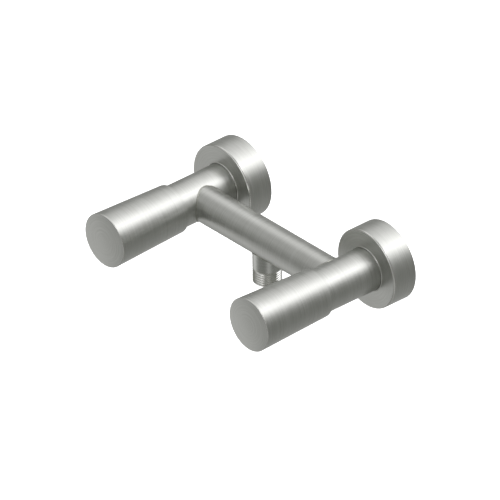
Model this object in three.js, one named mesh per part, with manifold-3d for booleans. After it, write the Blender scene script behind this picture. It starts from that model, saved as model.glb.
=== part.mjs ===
// Exposed two-handle shower mixer for a wall. Two tubular valve bodies stand on round wall covers, a mixing bar
// with a threaded hose outlet underneath joins them, and each is worked by a slightly conical handle.
// Millimetres, +Z up. The origin is on the wall face, midway between the two inlets, and +Y points into the wall.
// "out" is a distance from the wall face towards the user, so out = -y. An angle is counted anticlockwise from +X
// as the user sees it.
import * as THREE from "three";
import { mergeVertices } from "three/addons/utils/BufferGeometryUtils.js";
import Module from "manifold-3d";

const wasm = await Module();
wasm.setup();

// ---------------------------------------------------------------- driving dimensions
const inletSpacing = 150; // between the two water inlets, the usual size for a wall mixer

const seam = 0.3; // between two pieces that are brazed, bolted or pressed face to face
const play = 0.15; // each side of a seal, disc or ring in its seat
const runningFit = 0.2; // radial, between a turned piece and the bore that it sits or runs in
const threadFit = 0.2; // radial, between a male thread and its nut or tapped hole, both modelled plain
const edge = 0.4; // small turned chamfer

const pipeThread = { major: 10.478, minor: 9.316, pitch: 1.814 }; // G 1/2, radii
const unionThread = { major: 13.22, minor: 12.06 }; // G 3/4, radii

const wallUnion = {
  eccentric: 5, // the tail sits this far below the head
  tail: 12, // into the wall fitting
  standoff: 0.8, // from the wall face to the flange
  flangeLip: 0.32, // of the flange past the tail
  flange: 2.4,
  flats: 27,
  head: 7.8,
  tailBoreR: 7,
  headBoreR: 8,
};
const unionNut = { wall: 1.58, lip: 1.7, chamfer: 0.8 };
const gasket = { thick: 1.7, boreR: 8.2 };
const strainer = { thick: 0.8, holeR: 0.7, rows: [{ r: 2.4, count: 4 }, { r: 5.2, count: 8 }] };
const collar = { thick: 2, neckR: 10.7, neckGap: 0.3 };

const cartridge = {
  r: 9, length: 14.5, inset: 1, mouthR: 5, wall: 1, seatPlate: 2, web: 1.5, hubR: 4.3, rimR: 7.2,
};
const poppet = { lip: 1.2, thick: 1.4, stemR: 1.3 };
const spring = { coilR: 3.6, wireR: 0.35, turns: 4 };

const disc = { r: 7.7, thick: 2.8, portInnerR: 1.8, rim: 1.5, portAngle: 80, slotDepth: 1 };
const seatSeal = { thick: 2.4, boreR: 5.4 };
const headwork = {
  discFit: 0.4, // radial, between the discs and the barrel
  barrelWall: 1.5,
  threadStep: 0.8,
  flangeLip: 2.8,
  flange: 2,
  hexAcross: 21,
  hex: 5.3,
  windowLength: 5.8,
  windowWidth: 9,
};
const spindle = { r: 5, fork: 6.4, forkInset: 1.7, forkThick: 3, flange: 2.6, aboveBonnet: 14.5, flats: 8.4 };
const spindleSeal = { at: 5, section: 1.9, depth: 1.2 }; // distance above the spindle's flange
const spline = { teeth: 12, outerR: 4, innerR: 3.5, length: 11 };
const stop = { thick: 1.5, ringWall: 0.8, reach: 2.2, collarAngle: 180, travel: 90, endGap: 1 };
const clip = { thick: 0.8, grooveDepth: 0.9, reach: 2, gapAngle: 60 };
const bonnetSeal = { thick: 1.6 };

const body = {
  frontWall: 2.6, // round the bonnet's flange
  chamberWall: 3.4,
  pocket: 16.5, // for the check valve
  land: 6.2, // between the check valve and the valve seat
  passageR: 6.4,
  chamber: 20.5,
  threadBore: 12,
  frontBore: 7.8,
};
const glideRing = { wide: 2, depth: 1.1, proud: 0.3, fromFront: 3 };
const bar = { r: 13.1, boreR: 7.5, spigotWall: 1.4, spigot: 3 };
const outlet = { boreR: 6.6, spigotWall: 1.5, spigot: 4, neck: 8.6, turns: 6, lead: 0.72 };

const escutcheon = { r: 29.75, wall: 1.6, bossR: 22, boss: 2.8, nutGap: 0.4, edge: 1.3 };
const slideSeal = { section: 1.1, squash: 0.05 };

const handle = {
  frontR: 20.15, skirtWall: 1.45, length: 62.25, overlap: 9.2, face: 3.5, crown: 1.3, edge: 0.5, shoulder: 1.2,
};
const hub = { rim: 7.5, bossR: 8.5, web: 3 };
const hubScrew = { r: 1.9, length: 8, headR: 3.6, head: 3, socket: 3, socketDepth: 1.8 };
const grubScrew = { r: 2.3, length: 5.8, socket: 2.5, socketDepth: 2.4, sunk: 0.4 };

const facets = { large: 24, medium: 16, small: 12, saddle: 36, crown: 3 };

// ---------------------------------------------------------------- sizes and places that follow from them
const barrelBoreR = disc.r + headwork.discFit;
const barrelR = barrelBoreR + headwork.barrelWall;
const bonnetThreadR = barrelR + headwork.threadStep;
const bonnetFlangeR = bonnetThreadR + headwork.flangeLip;
const frontBoreR = bonnetFlangeR + runningFit;
const bodyR = frontBoreR + body.frontWall;
const chamberR = bodyR - body.chamberWall;
const glideR = bodyR + glideRing.proud;
const handleBoreR = glideR + runningFit;
const handleBackR = handleBoreR + handle.skirtWall;
const collarR = unionThread.minor - play;
const nutBoreR = unionThread.major + threadFit;
const nutAcross = 2 * (nutBoreR + unionNut.wall);
const unionFlangeR = wallUnion.eccentric + pipeThread.major + wallUnion.flangeLip;
const spigotR = bar.boreR + bar.spigotWall;
const portR = spigotR + runningFit;
const outletSpigotR = outlet.boreR + outlet.spigotWall;

const flangeOut = wallUnion.standoff + wallUnion.flange;
const nutBack = flangeOut + edge;
const headOut = flangeOut + wallUnion.head;
const collarOut = headOut + gasket.thick + 2 * play;
const neckOut = collarOut + collar.thick;
const nutFront = neckOut + seam + unionNut.lip;
const shoulderOut = nutFront + collar.neckGap;
const escutcheonDepth = nutFront + escutcheon.nutGap + escutcheon.boss;

const cartridgeBack = collarOut + cartridge.inset;
const cartridgeFront = cartridgeBack + cartridge.length;
const webBack = cartridgeFront - cartridge.web;
const poppetFront = cartridgeBack + cartridge.seatPlate + play + poppet.thick;

const pocketEnd = collarOut + body.pocket;
const seatOut = pocketEnd + body.land;
const barOut = seatOut + portR;
const chamberEnd = seatOut + body.chamber;
const sealSeatOut = chamberEnd + body.threadBore;
const bodyFront = sealSeatOut + body.frontBore;
const glideGrooveEnd = bodyFront - glideRing.fromFront;

const seatSealFront = seatOut + play + seatSeal.thick;
const fixedDiscFront = seatSealFront + play + disc.thick;
const turningDiscFront = fixedDiscFront + play + disc.thick;
const spindleFlangeBack = turningDiscFront + play + spindle.fork;
const spindleFlangeFront = spindleFlangeBack + spindle.flange;
const spindleGroove = spindleFlangeFront + spindleSeal.at;
const bonnetFlangeBack = sealSeatOut + bonnetSeal.thick + 2 * play;
const bonnetFlangeFront = bonnetFlangeBack + headwork.flange;
const bonnetFront = bonnetFlangeFront + headwork.hex;
const stopBack = bonnetFront + play;
const stopFront = stopBack + stop.thick;
const stopR = spindle.r + stop.reach;
const clipGroove = stopFront + play;
const spindleFront = bonnetFront + spindle.aboveBonnet;
const splineBack = spindleFront - spline.length;

const handleBack = bodyFront - handle.overlap;
const handleFront = handleBack + handle.length;
const hubBack = splineBack + seam;
const hubRimFront = hubBack + hub.rim;
const hubFront = spindleFront + seam + hub.web;
const grubOut = hubBack + hub.rim / 2;
const handleROf = (out) => THREE.MathUtils.mapLinear(out, handleBack, handleFront, handleBackR, handle.frontR);
const grubEndR = handleROf(grubOut) - grubScrew.sunk;
const grubTipR = grubEndR - grubScrew.length;

const threadBelow = bar.r + outlet.neck; // down from the bar's axis
const outletEnd = threadBelow + outlet.turns * pipeThread.pitch + outlet.lead;

// ---------------------------------------------------------------- materials
const finish = (color, roughness, metalness) => new THREE.MeshStandardMaterial({ color, roughness, metalness });
const steel = finish(0xa3a49d, 0.38, 1);
const brass = finish(0xb8974a, 0.35, 1);
const springSteel = finish(0x9a9c9e, 0.3, 1);
const rubber = finish(0x1b1c1d, 0.85, 0);
const ceramic = finish(0xe9e6df, 0.25, 0);
const plastic = finish(0xdedfd8, 0.5, 0);

// ---------------------------------------------------------------- solids
// A closed three.js geometry as a solid that can be joined and cut.
function solid(geometry) {
  const bare = geometry.index ? geometry.toNonIndexed() : geometry;
  bare.deleteAttribute("normal");
  bare.deleteAttribute("uv");
  const merged = mergeVertices(bare, 1e-4);
  const index = merged.index.array;
  const corners = [];
  for (let i = 0; i < index.length; i += 3) {
    const [a, b, c] = index.slice(i, i + 3);
    if (a !== b && b !== c && c !== a) corners.push(a, b, c);
  }
  const vertProperties = merged.attributes.position.array;
  return new wasm.Manifold(new wasm.Mesh({ numProp: 3, vertProperties, triVerts: new Uint32Array(corners) }));
}

// A named mesh made from a solid.
function piece(name, made, material) {
  const { numProp, vertProperties, triVerts } = made.getMesh();
  const geometry = new THREE.BufferGeometry();
  geometry.setAttribute("position", new THREE.BufferAttribute(vertProperties, numProp));
  geometry.setIndex(new THREE.BufferAttribute(triVerts, 1));
  geometry.computeVertexNormals();
  const mesh = new THREE.Mesh(geometry, material.clone());
  mesh.name = name;
  return mesh;
}

// Turned about Y from an outline of [radius, out] pairs, which starts and ends on the axis or is a closed loop.
function turned(outline, segments = facets.medium) {
  const onAxis = outline[0][0] === 0;
  const loop = onAxis ? outline : [...outline, outline[0]];
  const points = loop.map(([r, out]) => new THREE.Vector2(r, -out));
  const area = points.slice(1).reduce((sum, p, i) => sum + points[i].cross(p), 0);
  return solid(new THREE.LatheGeometry(area < 0 ? points.reverse() : points, segments));
}

// A pin or a plain hole along Y, and a ring of rectangular section.
const rod = (r, from, to, segments) => turned([[0, from], [r, from], [r, to], [0, to]], segments);
const ring = (innerR, outerR, from, to, segments) =>
  turned([[innerR, from], [outerR, from], [outerR, to], [innerR, to]], segments);

// A shape seen from the front, run along Y.
function prism(shape, from, to, curveSegments = 4) {
  const geometry = new THREE.ExtrudeGeometry(shape, { depth: to - from, bevelEnabled: false, curveSegments });
  return solid(geometry.rotateX(Math.PI / 2).translate(0, -from, 0));
}

// A piece made along Y laid along X, and one stood along Z with its "out" end down.
const alongX = (made) => made.rotate([0, 0, 90]);
const alongZ = (made) => made.rotate([90, 0, 0]);

// The same piece for the other side.
const mirrored = (made) => made.mirror([1, 0, 0]);

const polar = (r, degrees) =>
  new THREE.Vector2(r, 0).rotateAround(new THREE.Vector2(), THREE.MathUtils.degToRad(degrees));

const polygon = (r, corners) => Array.from({ length: corners }, (_, i) => polar(r, (360 * i) / corners));

const hexagon = (acrossFlats) => new THREE.Shape(polygon(acrossFlats / Math.sqrt(3), 6));

function rectangle(wide, high) {
  const corners = [[-1, -1], [1, -1], [1, 1], [-1, 1]];
  return new THREE.Shape(corners.map(([x, z]) => new THREE.Vector2((x * wide) / 2, (z * high) / 2)));
}

// Part of a flat ring, from one angle to another in degrees.
function sector(innerR, outerR, from, to) {
  const [start, end] = [from, to].map(THREE.MathUtils.degToRad);
  return new THREE.Shape().absarc(0, 0, outerR, start, end, false).absarc(0, 0, innerR, end, start, true);
}

// The toothed outline of the spindle's drive end. grow widens it for the bore that fits over it.
function splineShape(grow = 0) {
  const tooth = [[0, spline.innerR], [0.3, spline.innerR], [0.5, spline.outerR], [0.8, spline.outerR]];
  const points = [];
  for (let i = 0; i < spline.teeth; i++) {
    tooth.forEach(([share, r]) => points.push(polar(r + grow, ((i + share) * 360) / spline.teeth)));
  }
  return new THREE.Shape(points);
}

class Helix extends THREE.Curve {
  constructor(r, from, to, turns) {
    super();
    Object.assign(this, { r, from, to, turns });
  }

  getPoint(t, target = new THREE.Vector3()) {
    const { x, y } = polar(this.r, 360 * this.turns * t);
    return target.set(x, -THREE.MathUtils.lerp(this.from, this.to, t), y);
  }
}

// ---------------------------------------------------------------- wall connection
// Eccentric union: a tail that screws into the wall fitting, a flange with two spanner flats, and a larger
// threaded head for the union nut.
function makeWallUnion() {
  const { tail, standoff, eccentric } = wallUnion;
  const tailPart = turned([
    [0, -tail], [pipeThread.minor, -tail], [pipeThread.major, pipeThread.pitch - tail],
    [pipeThread.major, standoff + edge], [0, standoff + edge],
  ]);
  const flats = prism(rectangle(wallUnion.flats, 4 * unionFlangeR), 0, headOut);
  const flange = rod(unionFlangeR, standoff, flangeOut).intersect(flats);
  const head = turned([
    [0, flangeOut - edge], [unionThread.major, flangeOut - edge], [unionThread.major, headOut - 1],
    [unionThread.minor, headOut], [0, headOut],
  ]);
  const tailBore = rod(wallUnion.tailBoreR, -tail - 1, flangeOut);
  const headBore = rod(wallUnion.headBoreR, flangeOut - wallUnion.flange / 2, headOut + 1);
  return tailPart.translate([0, 0, -eccentric]).add(flange).add(head)
    .subtract(tailBore.translate([0, 0, -eccentric])).subtract(headBore);
}

// Hexagon nut whose lip pulls the valve body's collar against the gasket.
function makeUnionNut() {
  const cornerR = nutAcross / Math.sqrt(3);
  const { chamfer } = unionNut;
  const outside = turned([
    [0, nutBack], [cornerR - chamfer, nutBack], [cornerR, nutBack + chamfer], [cornerR, nutFront - chamfer],
    [cornerR - chamfer, nutFront], [0, nutFront],
  ]).intersect(prism(hexagon(nutAcross), nutBack - 1, nutFront + 1));
  const threads = rod(nutBoreR, nutBack - 1, nutFront - unionNut.lip);
  return outside.subtract(threads).subtract(rod(collar.neckR + runningFit, nutBack, nutFront + 1));
}

const makeUnionGasket = () => ring(gasket.boreR, collarR, headOut + play, collarOut - play);

// Perforated disc held in the gasket's bore.
function makeStrainer() {
  const plate = new THREE.Shape(polygon(gasket.boreR - runningFit, facets.medium));
  for (const row of strainer.rows) {
    for (const at of polygon(row.r, row.count)) {
      plate.holes.push(new THREE.Path(polygon(strainer.holeR, 5).map((corner) => corner.add(at))));
    }
  }
  const back = (headOut + collarOut - strainer.thick) / 2;
  return prism(plate, back, back + strainer.thick);
}

// ---------------------------------------------------------------- check valve
// Sleeve with a seat plate at the inlet and a webbed stem guide at the outlet.
function makeCheckValveBody() {
  const innerR = cartridge.r - cartridge.wall;
  const seatFront = cartridgeBack + cartridge.seatPlate;
  const sleeve = turned([
    [cartridge.mouthR, cartridgeBack], [cartridge.r, cartridgeBack], [cartridge.r, cartridgeFront],
    [innerR, cartridgeFront], [innerR, seatFront], [cartridge.mouthR, seatFront],
  ]);
  const web = ring(poppet.stemR + runningFit, innerR + edge, webBack, cartridgeFront);
  const windows = [15, 135, 255].map((angle) =>
    prism(sector(cartridge.hubR, cartridge.rimR, angle, angle + 90), webBack - 1, cartridgeFront + 1));
  return windows.reduce((made, window) => made.subtract(window), sleeve.add(web));
}

// Mushroom valve that shuts against the seat plate, with its stem in the guide.
function makePoppet() {
  const r = cartridge.mouthR + poppet.lip;
  const back = poppetFront - poppet.thick;
  const stemEnd = webBack + cartridge.web / 2;
  return turned([
    [0, back], [r - edge, back], [r, back + edge], [r, poppetFront], [poppet.stemR, poppetFront],
    [poppet.stemR, stemEnd], [0, stemEnd],
  ], facets.small);
}

function makeCheckValveSpring() {
  const endGap = play + spring.wireR;
  const extrudePath = new Helix(spring.coilR, poppetFront + endGap, webBack - endGap, spring.turns);
  const section = new THREE.Shape(polygon(spring.wireR, 5));
  return solid(new THREE.ExtrudeGeometry(section, { extrudePath, steps: spring.turns * 8 }));
}

// ---------------------------------------------------------------- valve body, bar and outlet
// Bored tube that holds the check valve and the headwork, with a collar for the union nut and a port towards +X.
function makeValveBody() {
  const cartridgeBoreR = cartridge.r + runningFit;
  const bonnetBoreR = bonnetThreadR + threadFit;
  const grooveR = bodyR - glideRing.depth;
  const grooveBack = glideGrooveEnd - glideRing.wide - 2 * play;
  const tube = turned([
    [cartridgeBoreR, collarOut], [collarR, collarOut], [collarR, neckOut], [collar.neckR, neckOut],
    [collar.neckR, shoulderOut], [bodyR - edge, shoulderOut], [bodyR, shoulderOut + edge], [bodyR, grooveBack],
    [grooveR, grooveBack], [grooveR, glideGrooveEnd], [bodyR, glideGrooveEnd], [bodyR, bodyFront - edge],
    [bodyR - edge, bodyFront], [frontBoreR, bodyFront], [frontBoreR, sealSeatOut], [bonnetBoreR, sealSeatOut],
    [bonnetBoreR, chamberEnd], [chamberR, chamberEnd], [chamberR, seatOut], [body.passageR, seatOut],
    [body.passageR, pocketEnd], [cartridgeBoreR, pocketEnd],
  ], facets.large);
  return tube.subtract(alongX(rod(portR, 0, bodyR + 1)).translate([0, -barOut, 0]));
}

const makeGlideRing = () => {
  const front = glideGrooveEnd - play;
  return ring(bodyR - glideRing.depth + play, glideR, front - glideRing.wide, front, facets.large);
};

// Thick tube along X, hollowed at its ends to sit on the valve bodies, with a spigot that enters each port.
function makeMixingBar() {
  const half = inletSpacing / 2;
  const tube = alongX(rod(bar.r, -half, half, facets.large));
  const saddle = rod(bodyR + seam, -bar.r - 1, bar.r + 1, facets.saddle);
  const reach = half - bodyR + bar.spigot;
  const spigots = alongX(rod(spigotR, -reach, reach));
  const bore = alongX(rod(bar.boreR, -half, half));
  const outletPort = alongZ(rod(outletSpigotR + runningFit, 0, bar.r + 1));
  return tube.subtract(saddle.translate([-half, 0, 0])).subtract(saddle.translate([half, 0, 0])).add(spigots)
    .subtract(bore).subtract(outletPort);
}

// Hose outlet: a neck hollowed to sit under the bar, a thread undercut, and a parallel thread drawn plain.
function makeOutlet() {
  const { major, minor, pitch } = pipeThread;
  const outside = turned([
    [0, 0], [major, 0], [major, threadBelow], [minor, threadBelow + pitch / 2], [minor, threadBelow + pitch],
    [major, threadBelow + 1.5 * pitch], [major, outletEnd - outlet.lead], [minor, outletEnd], [0, outletEnd],
  ], facets.large);
  const seat = alongX(rod(bar.r + seam, -bar.r, bar.r, facets.saddle));
  const spigot = alongZ(rod(outletSpigotR, bar.r - outlet.spigot, threadBelow));
  return alongZ(outside).subtract(seat).add(spigot).subtract(alongZ(rod(outlet.boreR, -1, outletEnd + 1)));
}

// ---------------------------------------------------------------- headwork
// Ceramic disc with two sector ports at an angle in degrees.
function makeDisc(front, angle) {
  const back = front - disc.thick;
  const plate = prism(new THREE.Shape(polygon(disc.r, facets.medium)), back, front);
  const half = disc.portAngle / 2;
  const ports = [angle, angle + 180].map((middle) =>
    prism(sector(disc.portInnerR, disc.r - disc.rim, middle - half, middle + half), back - 1, front + 1));
  return plate.subtract(ports[0]).subtract(ports[1]);
}

// The turning disc starts shut, a quarter turn from the fixed one, and the spindle's fork sits in its slot.
function makeTurningDisc() {
  const slotShape = rectangle(2 * (disc.r - spindle.forkInset + play), spindle.forkThick + 2 * play);
  const slot = prism(slotShape, turningDiscFront - disc.slotDepth, turningDiscFront + 1);
  return makeDisc(turningDiscFront, 90).subtract(slot);
}

// Bonnet: a slotted barrel round the discs, a threaded part, a flange, a hexagon, and half a collar as a stop.
function makeHeadworkBody() {
  const barrelBack = seatOut + seam + edge;
  const barrelFront = chamberEnd + seam;
  const roof = spindleFlangeFront + play;
  const boreR = spindle.r + runningFit;
  const cornerR = headwork.hexAcross / Math.sqrt(3);
  const outside = turned([
    [barrelBoreR, barrelBack], [barrelR, barrelBack], [barrelR, barrelFront],
    [bonnetThreadR, barrelFront + edge],
    [bonnetThreadR, bonnetFlangeBack], [bonnetFlangeR, bonnetFlangeBack], [bonnetFlangeR, bonnetFlangeFront],
    [cornerR, bonnetFlangeFront], [cornerR, bonnetFront - edge], [cornerR - edge, bonnetFront],
    [boreR, bonnetFront], [boreR, roof], [barrelBoreR, roof],
  ]);
  const hex = prism(hexagon(headwork.hexAcross), bonnetFlangeFront, bonnetFront + 1);
  const behindHex = rod(bonnetFlangeR + 1, 0, bonnetFlangeFront);
  const windowShape = rectangle(4 * barrelR, headwork.windowWidth);
  const windowBack = turningDiscFront + play;
  const windows = prism(windowShape, windowBack, windowBack + headwork.windowLength);
  const stopShape = sector(spindle.r + stop.ringWall + runningFit, stopR, 360 - stop.collarAngle, 360);
  const stopCollar = prism(stopShape, bonnetFront - edge, stopFront - play, 10);
  return outside.intersect(hex.add(behindHex)).subtract(windows).add(stopCollar);
}

const makeSeatSeal = () =>
  ring(seatSeal.boreR, barrelBoreR - runningFit, seatOut + play, seatSealFront, facets.small);

const makeBonnetSeal = () =>
  ring(bonnetThreadR + runningFit, bonnetFlangeR, sealSeatOut + play, bonnetFlangeBack - play);

// The fork that turns the disc, a flange held under the bonnet's roof, the shaft with its grooves and two flats,
// and the toothed end with a tapped hole.
function makeSpindle() {
  const { r, forkInset, forkThick } = spindle;
  const flangeR = barrelBoreR - runningFit;
  const sealR = r - spindleSeal.depth;
  const sealFront = spindleGroove + spindleSeal.section + 2 * play;
  const clipR = r - clip.grooveDepth;
  const clipFront = clipGroove + clip.thick + 2 * play;
  const shaft = turned([
    [0, spindleFlangeBack], [flangeR, spindleFlangeBack], [flangeR, spindleFlangeFront],
    [r, spindleFlangeFront],
    [r, spindleGroove], [sealR, spindleGroove], [sealR, sealFront], [r, sealFront], [r, clipGroove],
    [clipR, clipGroove], [clipR, clipFront], [r, clipFront], [r, splineBack], [0, splineBack],
  ]);
  const besideFlats = rod(r + 1, bonnetFront, clipGroove).subtract(
    prism(rectangle(spindle.flats, 4 * r), bonnetFront - 1, clipGroove + 1));
  const fork = prism(rectangle(2 * (disc.r - forkInset), forkThick), turningDiscFront - disc.slotDepth + seam,
    spindleFlangeBack + 1);
  const teeth = prism(splineShape(), splineBack - 1, spindleFront);
  const screwEnd = hubFront + seam - hubScrew.length;
  const tapped = rod(hubScrew.r + threadFit, screwEnd - seam, spindleFront + 1, facets.small);
  return shaft.subtract(besideFlats).add(fork).add(teeth).subtract(tapped);
}

const makeSpindleSeal = () => {
  const back = spindleGroove + play;
  return ring(spindle.r - spindleSeal.depth + play, spindle.r + runningFit / 2, back, back + spindleSeal.section);
};

// Washer keyed to the spindle's flats. Its tab meets one end of the bonnet's half collar when the valve is shut
// and the other end when it is open.
function makeStopRing() {
  const { ringWall, endGap, collarAngle, travel } = stop;
  const tabAngle = 360 - collarAngle - travel - 2 * endGap;
  const plate = rod(spindle.r + ringWall, stopBack, stopFront);
  const tab = prism(sector(spindle.r + ringWall / 2, stopR, endGap, endGap + tabAngle), stopBack, stopFront, 6);
  const flats = prism(rectangle(spindle.flats + 2 * play, 4 * spindle.r), stopBack - 2, stopFront + 2);
  const bore = rod(spindle.r + play, stopBack - 1, stopFront + 1).intersect(flats);
  return plate.add(tab).subtract(bore);
}

function makeSpindleClip() {
  const half = clip.gapAngle / 2;
  const shape = sector(spindle.r - clip.grooveDepth + play, spindle.r + clip.reach, 90 + half, 450 - half);
  return prism(shape, clipGroove + play, clipGroove + play + clip.thick, 12);
}

// ---------------------------------------------------------------- handle
// Conical outside, stepped bore, closed front, and a tapped hole underneath for the grub screw.
function makeHandle() {
  const shoulder = hubRimFront + seam;
  const innerR = handleBoreR - handle.shoulder;
  const roof = handleFront - handle.face;
  const faceR = handle.frontR - handle.edge;
  const crown = Array.from({ length: facets.crown }, (_, step) => step / facets.crown);
  const shell = turned([
    ...crown.map((part) => [part * faceR, handleFront + handle.crown * (1 - part ** 2)]),
    [faceR, handleFront], [handle.frontR, handleFront - handle.edge],
    [handleBackR, handleBack + play], [handleBackR - play, handleBack], [handleBoreR, handleBack],
    [handleBoreR, shoulder], [innerR, shoulder], [innerR, roof], [0, roof],
  ], facets.large);
  const tapped = rod(grubScrew.r + threadFit, handleBoreR - 1, handle.frontR + 1, facets.small);
  return shell.subtract(alongZ(tapped).translate([0, -grubOut, 0]));
}

// Insert that carries the handle on the spindle's teeth.
function makeHandleHub() {
  const outside = turned([
    [0, hubBack], [handleBoreR - runningFit, hubBack], [handleBoreR - runningFit, hubRimFront],
    [hub.bossR, hubRimFront], [hub.bossR, hubFront], [0, hubFront],
  ], facets.large);
  const teeth = prism(splineShape(runningFit), hubBack - 1, spindleFront + seam);
  const screwHole = rod(hubScrew.r + runningFit, hubBack, hubFront + 1, facets.small);
  const grubHole = rod(grubScrew.r + runningFit, grubTipR - seam, handleBoreR + 1, facets.small);
  return outside.subtract(teeth).subtract(screwHole).subtract(alongZ(grubHole).translate([0, -grubOut, 0]));
}

// Socket screw through the hub into the spindle.
function makeHubScrew() {
  const under = hubFront + seam;
  const top = under + hubScrew.head;
  const outside = turned([
    [0, under - hubScrew.length], [hubScrew.r, under - hubScrew.length], [hubScrew.r, under],
    [hubScrew.headR, under], [hubScrew.headR, top], [0, top],
  ], facets.small);
  return outside.subtract(prism(hexagon(hubScrew.socket), top - hubScrew.socketDepth, top + 1));
}

// Socket grub screw that points up into the hub from below the handle.
function makeGrubScrew() {
  const outside = turned([
    [0, grubTipR], [grubScrew.r - edge, grubTipR], [grubScrew.r, grubTipR + edge], [grubScrew.r, grubEndR],
    [0, grubEndR],
  ], facets.small);
  const socket = prism(hexagon(grubScrew.socket), grubEndR - grubScrew.socketDepth, grubEndR + 1);
  return alongZ(outside.subtract(socket)).translate([0, -grubOut, 0]);
}

// ---------------------------------------------------------------- wall cover
const slideSealBack = escutcheonDepth - (escutcheon.boss + slideSeal.section) / 2;

// Round cover with a rolled front edge and a thick boss, grooved inside for the seal that grips the valve body.
function makeEscutcheon() {
  const { r, wall, bossR, boss } = escutcheon;
  const boreR = bodyR + seam;
  const grooveR = bodyR + slideSeal.section + 2 * play;
  const grooveBack = slideSealBack - play;
  const grooveFront = slideSealBack + slideSeal.section + play;
  const roll = [0, 30, 60, 90].map((angle) => polar(escutcheon.edge, angle));
  return turned([
    [r - wall, 0], [r, 0],
    ...roll.map(({ x, y }) => [r - escutcheon.edge + x, escutcheonDepth - escutcheon.edge + y]),
    [boreR, escutcheonDepth], [boreR, grooveFront], [grooveR, grooveFront], [grooveR, grooveBack],
    [boreR, grooveBack], [boreR, escutcheonDepth - boss], [bossR, escutcheonDepth - boss],
    [bossR, escutcheonDepth - wall], [r - wall, escutcheonDepth - wall],
  ], facets.large);
}

const makeSlideSeal = () => {
  const innerR = bodyR + slideSeal.squash;
  return ring(innerR, innerR + slideSeal.section, slideSealBack, slideSealBack + slideSeal.section, facets.large);
};

// ---------------------------------------------------------------- assembly
// Everything on one inlet's axis. The right-hand side is the mirror image, so its handle opens the other way.
function makeSide(name, side) {
  const pieces = {
    wall_union: [makeWallUnion(), brass],
    union_nut: [makeUnionNut(), steel],
    union_gasket: [makeUnionGasket(), rubber],
    inlet_strainer: [makeStrainer(), plastic],
    check_valve_body: [makeCheckValveBody(), plastic],
    check_valve_poppet: [makePoppet(), plastic],
    check_valve_spring: [makeCheckValveSpring(), springSteel],
    valve_body: [makeValveBody(), steel],
    seat_seal: [makeSeatSeal(), rubber],
    fixed_disc: [makeDisc(fixedDiscFront, 0), ceramic],
    turning_disc: [makeTurningDisc(), ceramic],
    headwork_body: [makeHeadworkBody(), brass],
    bonnet_seal: [makeBonnetSeal(), rubber],
    spindle: [makeSpindle(), brass],
    spindle_seal: [makeSpindleSeal(), rubber],
    stop_ring: [makeStopRing(), brass],
    spindle_clip: [makeSpindleClip(), springSteel],
    glide_ring: [makeGlideRing(), plastic],
    handle: [makeHandle(), steel],
    handle_hub: [makeHandleHub(), brass],
    hub_screw: [makeHubScrew(), steel],
    grub_screw: [makeGrubScrew(), steel],
    escutcheon: [makeEscutcheon(), steel],
    escutcheon_seal: [makeSlideSeal(), rubber],
  };
  const group = new THREE.Group();
  for (const [kind, [made, material]] of Object.entries(pieces)) {
    group.add(piece(`${name}_${kind}`, side < 0 ? made : mirrored(made), material));
  }
  group.position.x = (side * inletSpacing) / 2;
  return group;
}

const mixer = new THREE.Group();
mixer.add(makeSide("hot", -1), makeSide("cold", 1));

const bridge = new THREE.Group();
bridge.add(piece("mixing_bar", makeMixingBar(), steel), piece("outlet", makeOutlet(), steel));
bridge.position.y = -barOut;
mixer.add(bridge);

export default mixer;
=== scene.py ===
import bpy
import math
from mathutils import Matrix, Vector


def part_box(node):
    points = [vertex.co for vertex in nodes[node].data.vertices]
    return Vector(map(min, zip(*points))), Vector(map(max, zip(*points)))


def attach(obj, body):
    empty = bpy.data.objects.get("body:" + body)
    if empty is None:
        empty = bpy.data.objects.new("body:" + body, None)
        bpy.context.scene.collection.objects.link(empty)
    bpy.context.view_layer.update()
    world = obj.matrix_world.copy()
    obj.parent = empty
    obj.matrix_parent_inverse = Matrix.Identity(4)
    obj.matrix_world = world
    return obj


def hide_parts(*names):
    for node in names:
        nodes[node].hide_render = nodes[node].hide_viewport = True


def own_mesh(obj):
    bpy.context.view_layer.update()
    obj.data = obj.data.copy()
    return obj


# An exposed shower mixer in brushed stainless steel.
# Each new piece is turned along +Z, with Z as its distance from the wall, and then put in place.
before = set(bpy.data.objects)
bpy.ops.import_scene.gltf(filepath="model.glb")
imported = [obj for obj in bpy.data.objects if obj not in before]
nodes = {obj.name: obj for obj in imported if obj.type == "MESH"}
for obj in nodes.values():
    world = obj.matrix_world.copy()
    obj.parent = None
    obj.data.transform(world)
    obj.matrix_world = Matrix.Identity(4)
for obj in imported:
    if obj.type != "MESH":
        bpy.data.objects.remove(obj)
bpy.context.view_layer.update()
mm = 0.001
sides = ("hot", "cold")
mergeDistance = 0.002 * mm
past = 1  # mm that a cutter reaches beyond what it cuts
print("frame loaded:", len(nodes), "nodes")


def axisX(side):
    low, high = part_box(side + "_valve_body")
    return (low.x + high.x) / 2  # the arms stand straight out of the wall


def spanOut(node):
    low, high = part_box(node)
    return -high.y, -low.y  # nearest to and furthest from the wall


def radiusOf(node):
    low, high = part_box(node)
    return (high.z - low.z) / 2


barLow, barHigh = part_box("mixing_bar")
barCentre = (barLow + barHigh) / 2
barRadius = (barHigh.z - barLow.z) / 2
armRadius = radiusOf("hot_valve_body")


def deselectAll():
    if bpy.context.object and bpy.context.object.mode != "OBJECT":
        bpy.ops.object.mode_set(mode="OBJECT")
    bpy.ops.object.select_all(action="DESELECT")


def makeActive(piece):
    deselectAll()
    piece.select_set(True)
    bpy.context.view_layer.objects.active = piece


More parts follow.
